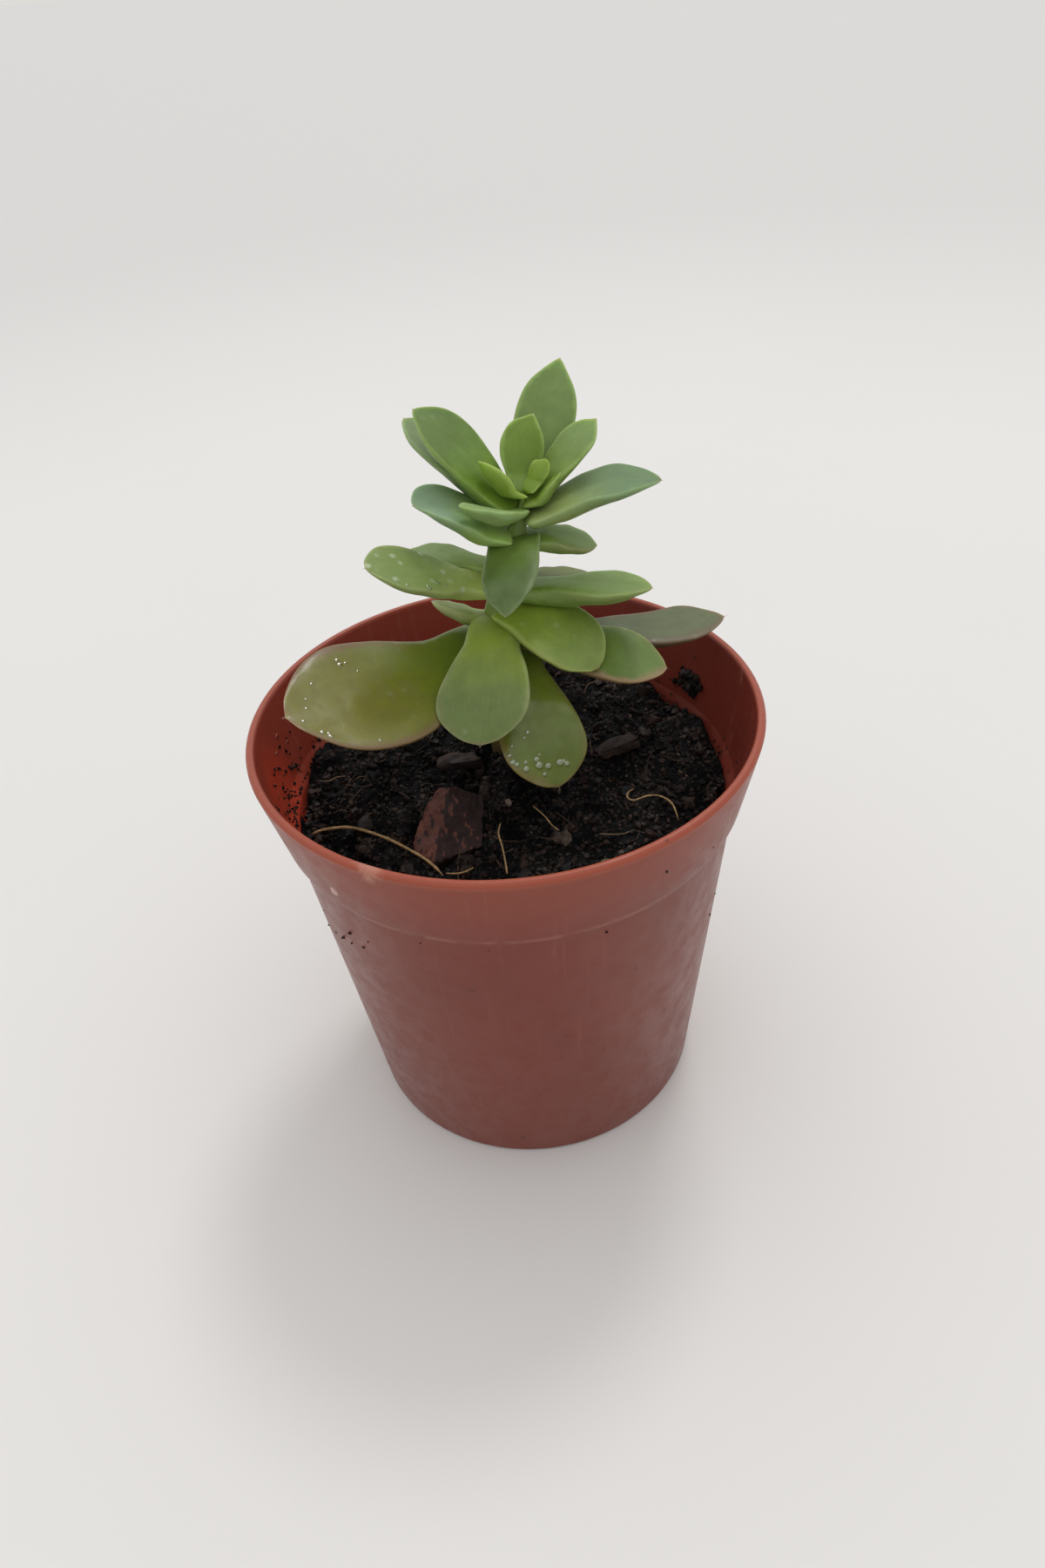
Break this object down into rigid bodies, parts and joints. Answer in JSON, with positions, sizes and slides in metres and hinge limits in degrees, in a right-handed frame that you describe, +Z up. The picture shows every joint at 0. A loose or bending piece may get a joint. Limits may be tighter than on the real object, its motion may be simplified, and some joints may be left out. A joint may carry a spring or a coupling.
{
  "type": "potted succulent",
  "caption": "Small rosette succulent with fleshy spoon-shaped leaves on a short stem, planted in peat soil in a thin round nursery pot with a rim band.",
  "frame": {"origin": "centre of the pot's foot ring, on the surface it stands on", "axes": "+Z up along the pot's axis; +X to the plant's right and -Y to its front"},
  "size_m": [0.055, 0.055, 0.0808],
  "materials": {
    "terracotta_plastic": "satin",
    "peat_soil": "rough, damp",
    "stem_skin": "matte",
    "low_leaf": "satin",
    "old_leaf": "matte",
    "grown_leaf": "waxy bloom",
    "young_leaf": "satin",
    "bark": "rough",
    "perlite": "porous"
  },
  "bodies": {
    "root": {"pot": "terracotta_plastic", "soil": "peat_soil", "stem": "stem_skin", "low_leaf_left": "low_leaf", "low_leaf_far_right": "old_leaf", "low_leaf_front_right": "low_leaf", "low_leaf_right": "low_leaf", "low_leaf_stub": "low_leaf", "low_leaf_front": "low_leaf", "mid_leaf_front_right": "grown_leaf", "mid_leaf_back_right": "grown_leaf", "mid_leaf_right": "grown_leaf", "mid_leaf_left": "grown_leaf", "mid_leaf_back_left": "grown_leaf", "mid_leaf_small_right": "grown_leaf", "mid_leaf_front": "grown_leaf", "crown_leaf_left": "grown_leaf", "crown_leaf_right": "grown_leaf", "crown_leaf_left_upper": "grown_leaf", "crown_leaf_front_left": "grown_leaf", "crown_leaf_back": "grown_leaf", "crown_leaf_left_inner": "grown_leaf", "crown_leaf_right_inner": "young_leaf", "bud_leaf_right": "young_leaf", "bud_leaf_left": "young_leaf", "crown_leaf_centre": "young_leaf", "bud_leaf_centre": "young_leaf", "bark_sliver_left": "bark", "bark_sliver_right": "bark", "perlite_left": "perlite", "perlite_front": "perlite", "bark_chip": "bark"}
  },
  "joints": []
}
